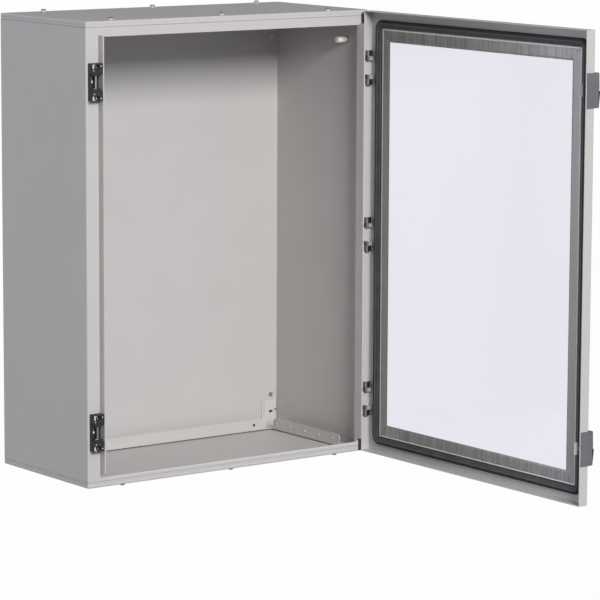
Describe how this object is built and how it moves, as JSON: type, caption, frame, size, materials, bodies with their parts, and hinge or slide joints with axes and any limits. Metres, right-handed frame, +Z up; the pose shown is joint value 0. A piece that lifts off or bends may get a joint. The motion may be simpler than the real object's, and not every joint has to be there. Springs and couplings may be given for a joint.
{
  "type": "wall enclosure",
  "caption": "Painted sheet steel wall enclosure with a glazed side-hinged door on block hinges, gasketed top and bottom covers, insert locks with hooks, and keepers on the jamb",
  "frame": {"origin": "centre of the four wall fixing holes, on the outer surface of the back wall", "axes": "+Y points out of the back into the wall, +Z up, +X to the right of someone facing the front"},
  "size_m": [0.6156, 0.8774, 0.8088],
  "materials": {
    "powder_coat": "fine textured light grey powder coat",
    "gasket_foam": "poured black foam with a satin skin",
    "seal_rubber": "black moulded rubber",
    "black_plastic": "black moulded polyamide",
    "lock_plastic": "slate grey moulded plastic",
    "white_plastic": "off-white plastic sleeve",
    "black_steel": "blackened steel",
    "zinc_steel": "zinc plated steel",
    "stud_steel": "plated steel, warm tone",
    "bracket_steel": "light grey coated steel",
    "insert_metal": "dark die-cast zinc",
    "frame_aluminium": "satin brushed profile with mitred corners",
    "window_glass": "clear safety glass"
  },
  "bodies": {
    "enclosure": {"body_wrap": "powder_coat", "front_frame": "powder_coat", "top_cover": "powder_coat", "bottom_cover": "powder_coat", "top_cover_gasket": "gasket_foam", "bottom_cover_gasket": "gasket_foam", "top_inner_flanges": "powder_coat", "bottom_inner_flanges": "powder_coat", "top_cover_screws": "black_steel", "bottom_cover_screws": "black_steel", "sealing_washers": "seal_rubber", "weld_nuts": "zinc_steel", "corner_brackets": "bracket_steel", "bracket_rivets": "bracket_steel", "strip_rivets": "black_steel", "fixing_hole_caps": "black_plastic", "jamb_seal": "seal_rubber", "earth_stud": "stud_steel", "earth_stud_washer": "zinc_steel", "earth_stud_sleeve": "white_plastic", "hinge_body_plates": "zinc_steel", "hinge_plate_nuts": "zinc_steel", "keeper_housings": "black_plastic", "keeper_bars": "zinc_steel", "keeper_screws": "zinc_steel"},
    "door": {"door_panel": "powder_coat", "hinge_blocks": "black_plastic", "hinge_pins": "stud_steel", "window_glass": "window_glass", "window_seal": "seal_rubber", "glazing_frame_top": "frame_aluminium", "glazing_frame_bottom": "frame_aluminium", "glazing_frame_left": "frame_aluminium", "glazing_frame_right": "frame_aluminium", "door_gasket": "gasket_foam", "lock_housing_upper": "lock_plastic", "lock_housing_lower": "lock_plastic"},
    "upper_insert": {"lock_insert_upper": "insert_metal"},
    "lower_insert": {"lock_insert_lower": "insert_metal"},
    "upper_hook": {"lock_hook_upper": "zinc_steel"},
    "lower_hook": {"lock_hook_lower": "zinc_steel"}
  },
  "joints": [
    {"name": "door_hinge", "type": "hinge", "parent": "enclosure", "child": "door", "pos_m": [0.29275, -0.28475, 0], "axis": [0, 0, 1], "range_deg": [-90, 25]},
    {"name": "upper_insert_turn", "type": "hinge", "parent": "door", "child": "upper_insert", "pos_m": [0.306, -0.8677, 0.289], "axis": [1, 0, 0], "range_deg": [0, 90]},
    {"name": "lower_insert_turn", "type": "hinge", "parent": "door", "child": "lower_insert", "pos_m": [0.306, -0.8677, -0.311], "axis": [1, 0, 0], "range_deg": [0, 90]},
    {"name": "upper_hook_slide", "type": "slide", "parent": "door", "child": "upper_hook", "axis": [0, -1, 0], "range_m": [0, 0.0033]},
    {"name": "lower_hook_slide", "type": "slide", "parent": "door", "child": "lower_hook", "axis": [0, -1, 0], "range_m": [0, 0.0033]}
  ],
  "couplings": [
    {"joint": "upper_hook_slide", "follows": "upper_insert_turn", "m_per_rad": 0.0021},
    {"joint": "lower_hook_slide", "follows": "lower_insert_turn", "m_per_rad": 0.0021}
  ]
}
